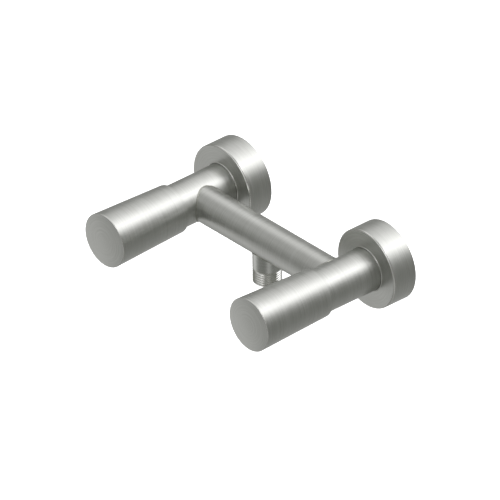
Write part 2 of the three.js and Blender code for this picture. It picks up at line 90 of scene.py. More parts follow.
def drawOutline(name, points):
    # one vertex, pushed along the outline by extruding it
    deselectAll()
    r, z = points[0]
    bpy.ops.mesh.primitive_plane_add(size=mm, location=(r, 0, z))
    piece = bpy.context.object
    piece.name = name
    bpy.ops.object.transform_apply(location=True, rotation=True, scale=True)
    bpy.ops.object.mode_set(mode="EDIT")
    bpy.ops.mesh.merge(type="CENTER")
    for nextR, nextZ in points[1:]:
        bpy.ops.mesh.extrude_region_move(TRANSFORM_OT_translate={"value": (nextR - r, 0, nextZ - z)})
        r, z = nextR, nextZ
    return piece


def cleanMesh():
    # merges, points the faces outwards and leaves edit mode
    bpy.ops.mesh.select_all(action="SELECT")
    bpy.ops.mesh.remove_doubles(threshold=mergeDistance)
    bpy.ops.mesh.dissolve_degenerate(threshold=mergeDistance / 2)
    bpy.ops.mesh.select_all(action="SELECT")
    bpy.ops.mesh.normals_make_consistent(inside=False)
    bpy.ops.object.mode_set(mode="OBJECT")


def turn(name, points, steps=96):
    # points are (radius, out) in mm; an outline that starts off the axis is closed, and any other ends on it
    scaled = [(r * mm, z * mm) for r, z in points]
    if points[0][0] > 0:
        scaled.append(scaled[0])
    piece = drawOutline(name, scaled)
    bpy.ops.mesh.select_all(action="SELECT")
    bpy.ops.mesh.spin(steps=steps, angle=2 * math.pi, center=(0, 0, 0), axis=(0, 0, 1))
    cleanMesh()
    return piece


def arc(centre, radius, fromDegrees, toDegrees, count):
    # points of a rounded corner, as (radius, out) pairs
    points = []
    for i in range(count + 1):
        angle = math.radians(fromDegrees + (toDegrees - fromDegrees) * i / count)
        points.append((centre[0] + radius * math.cos(angle), centre[1] + radius * math.sin(angle)))
    return points


def applyAll(piece):
    makeActive(piece)
    for modifier in list(piece.modifiers):
        bpy.ops.object.modifier_apply(modifier=modifier.name)


def combine(piece, tool, operation="DIFFERENCE"):
    # cuts with the tool, joins it on or keeps what is common, and uses the tool up
    modifier = piece.modifiers.new("cut", "BOOLEAN")
    modifier.operation = operation
    modifier.solver = "EXACT"
    modifier.object = tool
    applyAll(piece)
    bpy.data.objects.remove(tool)
    return piece


def roundEdges(piece, width, segments, angle):
    modifier = piece.modifiers.new("bevel", "BEVEL")
    modifier.width = width * mm
    modifier.segments = segments
    modifier.limit_method = "ANGLE"
    modifier.angle_limit = math.radians(angle)
    modifier.use_clamp_overlap = True
    modifier.miter_outer = "MITER_ARC"
    applyAll(piece)


def smooth(piece, angle=30):
    makeActive(piece)
    bpy.ops.object.mode_set(mode="EDIT")
    cleanMesh()
    bpy.ops.object.shade_smooth_by_angle(angle=math.radians(angle))
    modifier = piece.modifiers.new("normals", "WEIGHTED_NORMAL")
    modifier.keep_sharp = True
    modifier.weight = 80  # large faces stay flat next to narrow ones
    applyAll(piece)


def put(piece, towards, origin):
    # turns +Z to the direction that the piece faces, and moves it there
    turned = Vector((0, 0, 1)).rotation_difference(Vector(towards)).to_matrix().to_4x4()
    if towards == (0, 0, -1):
        turned = Matrix.Rotation(math.pi, 4, "X")  # straight over, where the difference has no one axis
    piece.matrix_world = Matrix.Translation(Vector(origin)) @ turned @ piece.matrix_world
    makeActive(piece)
    bpy.ops.object.transform_apply(location=True, rotation=True, scale=True)
    return piece


def rod(radius, start, end, steps=96):
    return turn("tool", [(0, start), (radius, start), (radius, end), (0, end)], steps)


def hexRod(acrossFlats, start, end):
    deselectAll()
    bpy.ops.mesh.primitive_cylinder_add(vertices=6, radius=acrossFlats / math.sqrt(3) * mm,
                                        depth=(end - start) * mm, location=(0, 0, (start + end) / 2 * mm))
    bpy.ops.object.transform_apply(location=True, rotation=True, scale=True)
    return bpy.context.object


def copyTo(side, piece, turned=False):
    # modelled at x = 0 as on the hot side; a piece that faces the bar is turned half round for the other side
    made = piece.copy()
    made.data = piece.data.copy()
    bpy.context.scene.collection.objects.link(made)
    half = math.pi if turned and side == "cold" else 0
    made.matrix_world = Matrix.Translation((axisX(side), 0, 0)) @ Matrix.Rotation(half, 4, "Y")
    makeActive(made)
    bpy.ops.object.transform_apply(location=True, rotation=True, scale=True)
    return made


def fromHex(text):
    channels = [int(text[i:i + 2], 16) / 255 for i in (0, 2, 4)]
    return tuple(c / 12.92 if c <= 0.04045 else ((c + 0.055) / 1.055) ** 2.4 for c in channels) + (1.0,)


def addNode(tree, kind, inputs, **settings):
    # an input that is a socket is linked, and any other is set as the value
    node = tree.nodes.new(kind)
    for key, value in settings.items():
        setattr(node, key, value)
    for key, value in inputs.items():
        if isinstance(value, bpy.types.NodeSocket):
            tree.links.new(value, node.inputs[key])
        else:
            node.inputs[key].default_value = value
    return node.outputs


def newMaterial(name, colour, roughness, metallic):
    material = bpy.data.materials.new(name)
    material.use_nodes = True
    material.diffuse_color = fromHex(colour)
    shader = material.node_tree.nodes["Principled BSDF"]
    shader.inputs["Base Color"].default_value = fromHex(colour)
    shader.inputs["Roughness"].default_value = roughness
    shader.inputs["Metallic"].default_value = metallic
    return material, shader


def dress(material, shader, tint, rough, bump):
    for socket, made in (("Base Color", tint), ("Roughness", rough), ("Normal", bump)):
        material.node_tree.links.new(made, shader.inputs[socket])
    return material


brushed = {
    "lineSpacing": 0.8,  # mm; real lines are about 0.05 mm apart, drawn coarser so that they show at all
    "lineLength": 26,  # mm
    "roughnessLines": 0.12,  # how much the roughness changes from line to line
    "smudgeSize": 34,  # mm, where hands have dulled it
    "smudges": (-0.02, 0.03),  # what they take from the roughness and add to it
    "bumpDepth": 0.02,  # mm
    "bumpStrength": 0.25,
}


def brushedStainless(name, direction, colour, deepColour, roughness):
    # the lines lie side by side along x, y or z, or as rings on a front
    material, shader = newMaterial(name, colour, roughness, 1.0)
    tree = material.node_tree
    place = addNode(tree, "ShaderNodeTexCoord", {})["Object"]
    scale = [1 / (brushed["lineLength"] * mm)] * 3
    scale["xyz".index(direction) if direction in "xyz" else 0] = 1 / (brushed["lineSpacing"] * mm)
    pattern = place
    if direction == "round":
        # rings about the axis of the nearer arm
        parts = addNode(tree, "ShaderNodeSeparateXYZ", {"Vector": place})
        away = addNode(tree, "ShaderNodeMath", {0: parts["X"]}, operation="ABSOLUTE")[0]
        away = addNode(tree, "ShaderNodeMath", {0: away, 1: axisX("cold")}, operation="SUBTRACT")[0]
        flat = addNode(tree, "ShaderNodeCombineXYZ", {"X": away, "Z": parts["Z"]})[0]
        ring = addNode(tree, "ShaderNodeVectorMath", {0: flat}, operation="LENGTH")["Value"]
        pattern = addNode(tree, "ShaderNodeCombineXYZ", {"X": ring, "Y": away, "Z": parts["Z"]})[0]
    pattern = addNode(tree, "ShaderNodeMapping", {"Vector": pattern, "Scale": scale})[0]
    lines = addNode(tree, "ShaderNodeTexNoise", {
        "Vector": pattern, "Scale": 1.0, "Detail": 3.0, "Roughness": 0.62})["Fac"]
    smudges = addNode(tree, "ShaderNodeTexNoise", {
        "Vector": place, "Scale": 1 / (brushed["smudgeSize"] * mm), "Detail": 4.0, "Roughness": 0.55,
        "Distortion": 0.6})["Fac"]
    depth = addNode(tree, "ShaderNodeMapRange", {"Value": lines, "From Min": 0.3, "From Max": 0.7})[0]
    tint = addNode(tree, "ShaderNodeMix", {0: depth, 6: fromHex(deepColour), 7: fromHex(colour)},
                   data_type="RGBA")[2]
    half = brushed["roughnessLines"] / 2
    roughLines = addNode(tree, "ShaderNodeMapRange", {
        "Value": depth, "To Min": roughness - half, "To Max": roughness + half})[0]
    dulled = addNode(tree, "ShaderNodeMapRange", {
        "Value": smudges, "From Min": 0.35, "From Max": 0.7,
        "To Min": brushed["smudges"][0], "To Max": brushed["smudges"][1]})[0]
    rough = addNode(tree, "ShaderNodeMath", {0: roughLines, 1: dulled}, operation="ADD")[0]
    bump = addNode(tree, "ShaderNodeBump", {
        "Height": lines, "Strength": brushed["bumpStrength"], "Distance": brushed["bumpDepth"] * mm})[0]
    return dress(material, shader, tint, rough, bump)


grainy = {
    "patches": 18,  # the patches of colour are this many grains wide
    "roughnessChange": 0.06,
    "bumpStrength": 0.25,
}


def grainyMaterial(name, colour, deepColour, roughness, metallic, grain, bumpDepth):
    # colour, gloss and surface all change a little; the grain's size and depth are in mm
    material, shader = newMaterial(name, colour, roughness, metallic)
    tree = material.node_tree
    place = addNode(tree, "ShaderNodeTexCoord", {})["Object"]
    speckle = addNode(tree, "ShaderNodeTexNoise", {
        "Vector": place, "Scale": 1 / (grain * mm), "Detail": 4.0, "Roughness": 0.6})["Fac"]
    broad = addNode(tree, "ShaderNodeTexNoise", {
        "Vector": place, "Scale": 1 / (grainy["patches"] * grain * mm), "Detail": 2.0})["Fac"]
    depth = addNode(tree, "ShaderNodeMapRange", {"Value": broad, "From Min": 0.3, "From Max": 0.7})[0]
    tint = addNode(tree, "ShaderNodeMix", {0: depth, 6: fromHex(deepColour), 7: fromHex(colour)},
                   data_type="RGBA")[2]
    change = grainy["roughnessChange"]
    rough = addNode(tree, "ShaderNodeMapRange", {
        "Value": speckle, "From Min": 0.3, "From Max": 0.7,
        "To Min": roughness - change, "To Max": roughness + change})[0]
    bump = addNode(tree, "ShaderNodeBump", {
        "Height": speckle, "Strength": grainy["bumpStrength"], "Distance": bumpDepth * mm})[0]
    return dress(material, shader, tint, rough, bump)


# satin stainless, belted round the tube: long soft highlights, no mirror images, a little warm and green
steelAlongY = brushedStainless("brushedStainlessTube", "y", "cecfcb", "bebfba", 0.37)
steelAlongX = brushedStainless("brushedStainlessBar", "x", "cecfcb", "bebfba", 0.37)
# the same steel turned on a lathe, with rings on the flat fronts
steelFace = brushedStainless("turnedStainlessFace", "round", "cecfcb", "bebfba", 0.37)
# the outlet's neck is left as turned, shinier than what is belted
steelAlongZ = brushedStainless("turnedStainlessOutlet", "z", "cecfcb", "bebfba", 0.2)
# narrow corners polished by the last belt, and painted lighter than the rest of the steel as a highlight, so
# that they glint
steelEdgeWithPaintedHighlight = brushedStainless("polishedStainlessEdgeWithPaintedHighlight", "y", "efefec", "e4e4df", 0.22)
# thread flanks burnished by the rolling die, and painted the lightest of the steels as a highlight
threadSteelWithPaintedHighlight = grainyMaterial("rolledStainlessThreadWithPaintedHighlight", "f3f3f0", "e6e6e2", 0.16, 1.0, 0.4, 0.004)
# brushed-over braze at the joints: duller and a little uneven
steelBead = grainyMaterial("brushedStainlessBraze", "b9bab2", "a3a49c", 0.42, 1.0, 0.5, 0.02)
# turned brass: yellow, half shiny, with fine mottling
brassTurned = grainyMaterial("turnedBrass", "ddc78c", "cdb576", 0.28, 1.0, 0.4, 0.01)
# drawn and hardened stainless wire and screws: grey, with a soft shine
steelWire = grainyMaterial("drawnStainlessWire", "b4b6b4", "9fa19f", 0.3, 1.0, 0.3, 0.01)
# moulded rubber: nearly black and matt
rubberSeal = grainyMaterial("mouldedEpdmRubber", "1d1d1e", "141415", 0.62, 0.0, 0.3, 0.02)
# lapped alumina: creamy white and very smooth
ceramicDisc = grainyMaterial("lappedAluminaCeramic", "efece4", "e2ded4", 0.16, 0.0, 0.25, 0.004)
# moulded acetal: off-white and waxy
acetal = grainyMaterial("mouldedAcetal", "e6e5df", "d9d8d0", 0.42, 0.0, 0.4, 0.01)
print("materials made")


finished = []
facing = {"front": 0.96, "edge": 0.2}  # how squarely a front, and the edge round it, look away from the wall


def finish(piece, name, material, body, replaced=(), face=None, edge=None):
    # a piece's flat front and the narrow edges round it may have finishes of their own
    piece.name = name
    piece.data.name = name
    piece.data.materials.clear()
    for made in (material, face, edge):
        if made:
            piece.data.materials.append(made)
    for polygon in piece.data.polygons:
        forwards = -polygon.normal.y
        polygon.material_index = 0
        if face and forwards > facing["front"]:
            polygon.material_index = 1
        # edge faces that look away from the wall take the edge finish, whose lighter colour is a painted
        # highlight
        elif edge and forwards > facing["edge"]:
            polygon.material_index = 2
    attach(piece, body)
    if replaced:
        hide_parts(*replaced)
    finished.append(piece)


def finishSides(piece, name, material, body, node=None, turned=False, face=None, edge=None):
    # a copy for each side, with the side's name put where the braces are
    made = {}
    for side in sides:
        made[side] = copyTo(side, piece, turned)
        finish(made[side], name.format(side), material, body.format(side),
               [node.format(side)] if node else (), face, edge)
    bpy.data.objects.remove(piece)
    return made


handleShell = {
    "backRadius": 17.95,
    "boreRadius": 16.5,
    "innerRadius": 15.3,
    "shoulder": 22.2,  # from the back rim to the step that stops the hub
    "face": 3.5,
    "dome": 1.3,  # the front face is slightly crowned
    "domeRings": 8,
    "rimRound": 0.55,
    "backRound": 0.3,
    "mouthChamfer": 0.2,
    "grubFromBack": 18.15,
    "grubHoleRadius": 2.5,
    "grubHole": (14, 24),  # where the hole's cutter starts and ends, from the axis
    "steps": 128,
    "smooth": 34,
}


def makeHandles():
    s = handleShell
    back, front = (v / mm for v in spanOut("hot_handle"))
    rim = front - s["dome"]
    outer = radiusOf("hot_handle") / mm
    rings = [outer * i / s["domeRings"] for i in range(s["domeRings"])]
    face = [(r, rim + s["dome"] * (1 - (r / outer) ** 2)) for r in rings]
    roll = arc((outer - s["rimRound"], rim - s["rimRound"]), s["rimRound"], 78, 0, 5)
    heel = arc((s["backRadius"] - s["backRound"], back + s["backRound"]), s["backRound"], 0, -90, 3)
    step = back + s["shoulder"]
    end = rim - s["face"]
    inside = [(s["boreRadius"] + s["mouthChamfer"], back), (s["boreRadius"], back + s["mouthChamfer"]),
              (s["boreRadius"], step), (s["innerRadius"], step), (s["innerRadius"], end), (0, end)]
    shell = put(turn("handle", face + roll + heel + inside, s["steps"]), (0, -1, 0), (0, 0, 0))
    hole = rod(s["grubHoleRadius"], *s["grubHole"], steps=48)
    combine(shell, put(hole, (0, 0, -1), (0, -(back + s["grubFromBack"]) * mm, 0)))
    smooth(shell, s["smooth"])
    finishSides(shell, "{}HandleShell", steelAlongY, "{}_handle", "{}_handle",
                face=steelFace, edge=steelEdgeWithPaintedHighlight)


coverShell = {
    "wall": 1.6,
    "bossRadius": 22,
    "boss": 2.8,
    "bossDraft": 0.4,  # the boss is this much wider where it leaves the front wall
    "edgeRound": 1.2,
    "rimRound": 0.25,
    "boreGap": 0.12,  # round the arm
    "lip": 0.45,  # radius of the thin bead that closes the gap round the arm
    "lipSunk": 0.1,
    "grooveRadius": 17.4,  # for the seal inside the boss
    "groove": (18.1, 19.5),
    "bossChamfer": 0.3,
    "rimChamfer": 0.2,
    "cornerChamfer": 1,
    "steps": 144,
    "smooth": 34,
}


def makeCovers():
    s = coverShell
    back, front = (v / mm for v in spanOut("hot_escutcheon"))
    outer = radiusOf("hot_escutcheon") / mm
    bore = armRadius / mm + s["boreGap"]
    inner = outer - s["wall"]
    points = [(inner, back + s["rimChamfer"]), (inner + s["rimChamfer"], back)]
    points += arc((outer - s["rimRound"], back + s["rimRound"]), s["rimRound"], -90, 0, 3)
    points += arc((outer - s["edgeRound"], front - s["edgeRound"]), s["edgeRound"], 0, 90, 7)
    points += arc((bore + s["lip"], front - s["lipSunk"]), s["lip"], 12, 180, 8)
    near, far = s["groove"]
    bossEnd = front - s["boss"]
    inFront = front - s["wall"]
    chamfer = s["bossChamfer"]
    points += [(bore, far), (s["grooveRadius"], far), (s["grooveRadius"], near), (bore, near),
               (bore, bossEnd + chamfer), (bore + chamfer, bossEnd), (s["bossRadius"] - chamfer, bossEnd),
               (s["bossRadius"], bossEnd + chamfer), (s["bossRadius"] + s["bossDraft"], inFront),
               (inner - s["cornerChamfer"], inFront), (inner, inFront - s["cornerChamfer"])]
    shell = put(turn("cover", points, s["steps"]), (0, -1, 0), (0, 0, 0))
    smooth(shell, s["smooth"])
    finishSides(shell, "{}WallCover", steelAlongY, "{}_cover", "{}_escutcheon",
                face=steelFace, edge=steelEdgeWithPaintedHighlight)


armTube = {
    "collarRadius": 11.91,
    "collar": 2,
    "neckRadius": 10.7,
    "neck": 2.3,
    "endRound": 0.4,
    "pocketRadius": 9.2,
    "pocket": 16.5,
    "passageRadius": 6.4,
    "land": 6.2,
    "chamberRadius": 12.6,
    "chamber": 20.5,
    "threadRadius": 10.6,
    "thread": 12,
    "frontRadius": 13.4,
    "portRadius": 9.1,
    "grooveRadius": 14.9,
    "groove": (3, 2.3),  # for the glide ring: from the front end, and its width
    "steps": 128,
    "smooth": 34,
}


def makeArms():
    s = armTube
    back, front = (v / mm for v in spanOut("hot_valve_body"))
    outer = armRadius / mm
    shoulder = back + s["collar"] + s["neck"]
    seat = back + s["pocket"] + s["land"]
    chamberEnd = seat + s["chamber"]
    sealSeat = chamberEnd + s["thread"]
    points = [(s["pocketRadius"], back), (s["collarRadius"], back), (s["collarRadius"], back + s["collar"]),
              (s["neckRadius"], back + s["collar"]), (s["neckRadius"], shoulder)]
    points += arc((outer - s["endRound"], shoulder + s["endRound"]), s["endRound"], -90, 0, 3)
    grooveEnd = front - s["groove"][0]
    grooveStart = grooveEnd - s["groove"][1]
    points += [(outer, grooveStart), (s["grooveRadius"], grooveStart), (s["grooveRadius"], grooveEnd),
               (outer, grooveEnd)]
    points += arc((outer - s["endRound"], front - s["endRound"]), s["endRound"], 0, 90, 3)
    points += [(s["frontRadius"], front), (s["frontRadius"], sealSeat), (s["threadRadius"], sealSeat),
               (s["threadRadius"], chamberEnd), (s["chamberRadius"], chamberEnd), (s["chamberRadius"], seat),
               (s["passageRadius"], seat), (s["passageRadius"], back + s["pocket"]),
               (s["pocketRadius"], back + s["pocket"])]
    tube = put(turn("arm", points, s["steps"]), (0, -1, 0), (0, 0, 0))
    port = rod(s["portRadius"], 0, outer + past, steps=64)
    combine(tube, put(port, (1, 0, 0), (0, barCentre.y, 0)))
    smooth(tube, s["smooth"])
    finishSides(tube, "{}ValveTube", steelAlongY, "mixer_body", "{}_valve_body", turned=True)


crossBar = {
    "boreRadius": 7.5,
    "spigotRadius": 8.9,
    "spigot": 3,
    "gap": 0.02,  # between a brazed end and the tube that it follows
    "saddle": (20, 70),  # the arm's outline is cut from here to here, well past the bar on both sides
    "outletPortRadius": 8.3,
    "steps": 128,
    "smooth": 34,
}


def makeCrossBar():
    s = crossBar
    half = axisX("cold") / mm
    outer = barRadius / mm
    inside = (s["boreRadius"] + s["spigotRadius"]) / 2  # the bar's own bore, later lined by the spigots' tube
    bar = turn("bar", [(inside, -half), (outer, -half), (outer, half), (inside, half)], s["steps"])
    put(bar, (1, 0, 0), (0, barCentre.y, 0))
    for side in sides:
        saddle = rod(armRadius / mm + s["gap"], *s["saddle"], s["steps"])
        combine(bar, put(saddle, (0, -1, 0), (axisX(side), 0, 0)))
    reach = half - armRadius / mm + s["spigot"]
    spigots = turn("spigots", [(s["boreRadius"], -reach), (s["spigotRadius"], -reach),
                               (s["spigotRadius"], reach), (s["boreRadius"], reach)], steps=64)
    put(spigots, (1, 0, 0), (0, barCentre.y, 0))
    combine(bar, spigots, "UNION")
    port = rod(s["outletPortRadius"], 0, outer + past, steps=60)
    combine(bar, put(port, (0, 0, -1), (0, barCentre.y, 0)))
    smooth(bar, s["smooth"])
    finish(bar, "crossBar", steelAlongX, "mixer_body", ["mixing_bar"])


beadShape = {"radius": 0.45, "points": 96, "proud": 0.1, "smooth": 60}


def makeBead(places):
    # a thin brazed fillet that follows the joint between two tubes
    curve = bpy.data.curves.new("bead", "CURVE")
    curve.dimensions = "3D"
    curve.bevel_depth = beadShape["radius"] * mm
    curve.bevel_resolution = 3
    line = curve.splines.new("POLY")
    line.points.add(len(places) - 1)
    line.use_cyclic_u = True
    for point, place in zip(line.points, places):
        point.co = (*place, 1)
    bead = bpy.data.objects.new("bead", curve)
    bpy.context.scene.collection.objects.link(bead)
    makeActive(bead)
    bpy.ops.object.convert(target="MESH")
    bead = bpy.context.object
    smooth(bead, beadShape["smooth"])
    return bead


def makeBeads():
    count = beadShape["points"]
    angles = [2 * math.pi * i / count for i in range(count)]
    arm = armRadius + beadShape["proud"] * mm
    bar = barRadius + beadShape["proud"] * mm
    neck = outletPart["major"] * mm + beadShape["proud"] * mm
    joint = makeBead([(math.sqrt(arm ** 2 - (bar * math.sin(a)) ** 2), barCentre.y + bar * math.cos(a),
                       bar * math.sin(a)) for a in angles])
    finishSides(joint, "{}BarBraze", steelBead, "mixer_body", turned=True)
    under = makeBead([(neck * math.cos(a), barCentre.y + neck * math.sin(a),
                       -math.sqrt(bar ** 2 - (neck * math.sin(a)) ** 2)) for a in angles])
    finish(under, "outletBraze", steelBead, "mixer_body")


threadShape = {
    "perPitch": 10,
    "steps": 80,
    "spare": 2,  # pitches at each end that are trimmed away
    "outside": 0.05,  # from the crests to the blank that trims them
    "below": 0.1,  # from the roots to the small end of its chamfers
}


def threadedRod(major, minor, pitch, start, end, startChamfer, endChamfer):
    # a wavy outline carried once round and one pitch up meets itself, then a turned blank trims both ends
    perPitch = threadShape["perPitch"]
    low = start - threadShape["spare"] * pitch
    count = math.ceil((end - start) / pitch) + 2 * threadShape["spare"]
    middle = (major + minor) / 2
    height = (major - minor) / 2
    wave = [(middle - height * math.cos(2 * math.pi * i / perPitch), low + pitch * i / perPitch)
            for i in range(count * perPitch + 1)]
    wave = [(0, wave[0][1])] + wave + [(0, wave[-1][1])]
    thread = drawOutline("thread", [(r * mm, z * mm) for r, z in wave])
    bpy.ops.object.mode_set(mode="OBJECT")
    modifier = thread.modifiers.new("screw", "SCREW")
    modifier.axis = "Z"
    modifier.screw_offset = pitch * mm
    modifier.iterations = 1
    modifier.steps = modifier.render_steps = threadShape["steps"]
    modifier.use_merge_vertices = False
    applyAll(thread)
    bpy.ops.object.mode_set(mode="EDIT")
    bpy.ops.mesh.select_all(action="SELECT")
    bpy.ops.mesh.remove_doubles(threshold=mergeDistance)
    bpy.ops.mesh.fill_holes(sides=0)
    cleanMesh()
    clear = major + threadShape["outside"]
    root = minor - threadShape["below"]
    blank = turn("blank", [
        (0, start), (root if startChamfer else clear, start), (clear, start + startChamfer),
        (clear, end - endChamfer), (root if endChamfer else clear, end), (0, end)])
    return combine(thread, blank, "INTERSECT")


outletPart = {
    "neck": 8.6,
    "neckEdge": (0.3, 0.35),  # the chamfer under the neck, inwards and along
    "overlap": 0.3,  # the neck's core reaches this far into the thread
    "rootGap": 0.2,  # and stays this far inside the thread's roots
    "threadStart": 0.1,  # the thread starts this far inside the neck
    "seat": 20,  # half the length of the cutter that fits the neck to the bar
    "boreRadius": 6.6,
    "spigotRadius": 8.1,
    "spigot": 4,
    "major": 10.478,  # G 1/2 thread
    "minor": 9.316,
    "pitch": 1.814,
    "crestGap": 0.03,  # the crests stay this far inside the major radius
    "runout": 0.9,
    "endChamfer": 1.1,
    "boreChamfer": 0.5,
}


def makeOutlet():
    s = outletPart
    end = (barCentre.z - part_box("outlet")[0].z) / mm
    start = barRadius / mm + s["neck"]
    inwards, along = s["neckEdge"]
    core = start + s["overlap"]
    body = turn("outlet", [(0, 0), (s["major"], 0), (s["major"], start - along),
                           (s["major"] - inwards, start), (s["minor"] - s["rootGap"], core), (0, core)])
    thread = threadedRod(s["major"] - s["crestGap"], s["minor"], s["pitch"], start - s["threadStart"], end,
                         s["runout"], s["endChamfer"])
    combine(body, thread, "UNION")
    seat = rod(barRadius / mm + crossBar["gap"], -s["seat"], s["seat"], crossBar["steps"])
    combine(body, put(seat, (1, 0, 0), (0, 0, 0)))
    combine(body, rod(s["spigotRadius"], barRadius / mm - s["spigot"], start, steps=64), "UNION")
    mouth = s["boreRadius"] + s["boreChamfer"]
    bore = turn("bore", [(0, -past), (s["boreRadius"], -past), (s["boreRadius"], end - s["boreChamfer"]),
                         (mouth + past, end + past), (0, end + past)], steps=64)
    combine(body, bore)
    put(body, (0, 0, -1), (0, barCentre.y, 0))
    smooth(body)
    finish(body, "hoseOutlet", steelAlongZ, "mixer_body", ["outlet"])
    # the thread below the neck takes a lighter colour, a painted highlight
    body.data.materials.append(threadSteelWithPaintedHighlight)  # below the neck
    for polygon in body.data.polygons:
        if polygon.center.z < -start * mm:
            polygon.material_index = 1


wallFitting = {
    "eccentric": 5,  # the tail is this far below the head
    "tail": 12,
    "tailMajor": 10.478,  # G 1/2 thread
    "tailMinor": 9.316,
    "tailBore": 7,
    "headMajor": 13.22,  # G 3/4 thread
    "headMinor": 12.06,
    "headBore": 8,
    "pitch": 1.814,
    "flange": (0.8, 3.2),  # where it starts and ends
    "flats": 27,  # mm across
    "flangeRound": 0.4,
    "overlap": 0.5,  # the threads start this far inside the flange
    "chamfer": 1.3,
}


def makeWallFittings():
    # the eccentric union, threaded at both ends, with two flats for a spanner
    s = wallFitting
    headEnd = spanOut("hot_wall_union")[1] / mm
    flangeBack, flangeFront = s["flange"]
    flangeRadius = radiusOf("hot_wall_union") / mm
    tail = threadedRod(s["tailMajor"], s["tailMinor"], s["pitch"], -s["tail"], flangeBack + s["overlap"],
                       s["chamfer"], 0)
    put(tail, (0, 0, 1), (0, -s["eccentric"] * mm, 0))
    head = threadedRod(s["headMajor"], s["headMinor"], s["pitch"], flangeFront - s["overlap"], headEnd,
                       0, s["chamfer"])
    inner = flangeRadius - s["flangeRound"]
    flange = turn("flange", [
        (0, flangeBack), (inner, flangeBack), (flangeRadius, flangeBack + s["flangeRound"]),
        (flangeRadius, flangeFront - s["flangeRound"]), (inner, flangeFront), (0, flangeFront)])
    deselectAll()
    bpy.ops.mesh.primitive_cube_add(size=1, location=(0, 0, (flangeBack + flangeFront) / 2 * mm))
    flats = bpy.context.object
    flats.scale = (s["flats"] * mm, 4 * flangeRadius * mm, 2 * (flangeFront - flangeBack) * mm)
    bpy.ops.object.transform_apply(location=True, rotation=True, scale=True)
    combine(flange, flats, "INTERSECT")
    combine(flange, head, "UNION")
    combine(flange, tail, "UNION")
    tailBore = rod(s["tailBore"], -s["tail"] - past, flangeFront, steps=64)
    combine(flange, put(tailBore, (0, 0, 1), (0, -s["eccentric"] * mm, 0)))
    combine(flange, rod(s["headBore"], (flangeBack + flangeFront) / 2, headEnd + past, steps=64))
    put(flange, (0, -1, 0), (0, 0, 0))
    smooth(flange)
    finishSides(flange, "{}WallFitting", brassTurned, "mixer_body", "{}_wall_union")


unionNut = {
    "acrossFlats": 30,
    "chamfer": (2, 1.1),  # inwards and along
    "bore": 13.42,
    "lip": 1.7,
    "neckBore": 10.9,
    "edge": 0.25,
    "countersink": 0.4,
}


def makeUnionNuts():
    s = unionNut
    back, front = (v / mm for v in spanOut("hot_union_nut"))
    corner = s["acrossFlats"] / math.sqrt(3)
    nut = hexRod(s["acrossFlats"], back, front)
    roundEdges(nut, s["edge"], segments=2, angle=40)
    inwards, along = s["chamfer"]
    flat = corner - inwards
    turned = turn("blank", [(0, back), (flat, back), (corner, back + along),
                            (corner, front - along), (flat, front), (0, front)])
    combine(nut, turned, "INTERSECT")
    mouth = s["bore"] + s["countersink"] + past
    combine(nut, turn("bore", [(0, back - past), (mouth, back - past), (s["bore"], back + s["countersink"]),
                               (s["bore"], front - s["lip"]), (0, front - s["lip"])]))
    combine(nut, rod(s["neckBore"], back, front + past))
    put(nut, (0, -1, 0), (0, 0, 0))
    smooth(nut)
    finishSides(nut, "{}UnionNut", steelAlongY, "mixer_body", "{}_union_nut")


grubScrew = {
    "radius": 2.3,
    "socket": 2.5,  # across its flats
    "socketDepth": 2.4,
    "chamfer": 0.35,
    "tipChamfer": (0.9, 0.8),  # inwards and along
    "cup": (0.9, 0.63),  # radius and depth of the hollow in the tip
    "countersink": (0.5, 0.2),  # how much it widens the socket, and how deep it starts
    "steps": 48,
}


def makeGrubScrews():
    s = grubScrew
    low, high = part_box("hot_grub_screw")
    tip, end = -high.z / mm, -low.z / mm
    inwards, along = s["tipChamfer"]
    cupRadius, cupDepth = s["cup"]
    screw = turn("screw", [
        (0, tip + cupDepth), (cupRadius, tip), (s["radius"] - inwards, tip), (s["radius"], tip + along),
        (s["radius"], end - s["chamfer"]), (s["radius"] - s["chamfer"], end), (0, end)], s["steps"])
    combine(screw, hexRod(s["socket"], end - s["socketDepth"], end + past))
    half = s["socket"] / 2
    wider, deep = s["countersink"]
    above = end + wider - deep
    combine(screw, turn("countersink", [(0, end - 2 * deep), (half, end - deep), (half + wider, above),
                                        (0, above)], s["steps"]))
    put(screw, (0, 0, -1), (0, (low.y + high.y) / 2, 0))
    smooth(screw)
    finishSides(screw, "{}GrubScrew", steelWire, "{}_handle", "{}_grub_screw")


checkSpring = {
    "coilRadius": 3.6,
    "wireRadius": 0.35,
    "turns": 4,
    "wireSides": 12,
    "stepsPerTurn": 32,
    "smooth": 50,
}


def makeSprings():
    # a coil of wire for each check valve, as long as the frame's spring; the real one shortens towards its
    # fixed end as its valve lifts
    s = checkSpring
    back, front = (v / mm for v in spanOut("hot_check_valve_spring"))
    deselectAll()
    bpy.ops.mesh.primitive_circle_add(
        vertices=s["wireSides"], radius=s["wireRadius"] * mm, rotation=(math.pi / 2, 0, 0),
        location=(s["coilRadius"] * mm, 0, (back + s["wireRadius"]) * mm))
    bpy.ops.object.transform_apply(location=True, rotation=True, scale=True)
    spring = bpy.context.object
    modifier = spring.modifiers.new("coil", "SCREW")
    modifier.axis = "Z"
    modifier.iterations = s["turns"]
    modifier.screw_offset = (front - back - 2 * s["wireRadius"]) / s["turns"] * mm
    modifier.steps = modifier.render_steps = s["stepsPerTurn"]
    applyAll(spring)
    bpy.ops.object.mode_set(mode="EDIT")
    bpy.ops.mesh.select_all(action="SELECT")
    bpy.ops.mesh.fill_holes(sides=0)
    cleanMesh()
    put(spring, (0, -1, 0), (0, 0, 0))
    smooth(spring, s["smooth"])
    springs = finishSides(spring, "{}ValveSpring", steelWire, "mixer_body",
                          "{}_check_valve_spring")
    for side, made in springs.items():
        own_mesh(made)


makeHandles()
makeCovers()
makeArms()
makeCrossBar()
makeOutlet()
makeBeads()
makeWallFittings()
makeUnionNuts()
makeGrubScrews()
makeSprings()
print("pieces made:", len(finished))

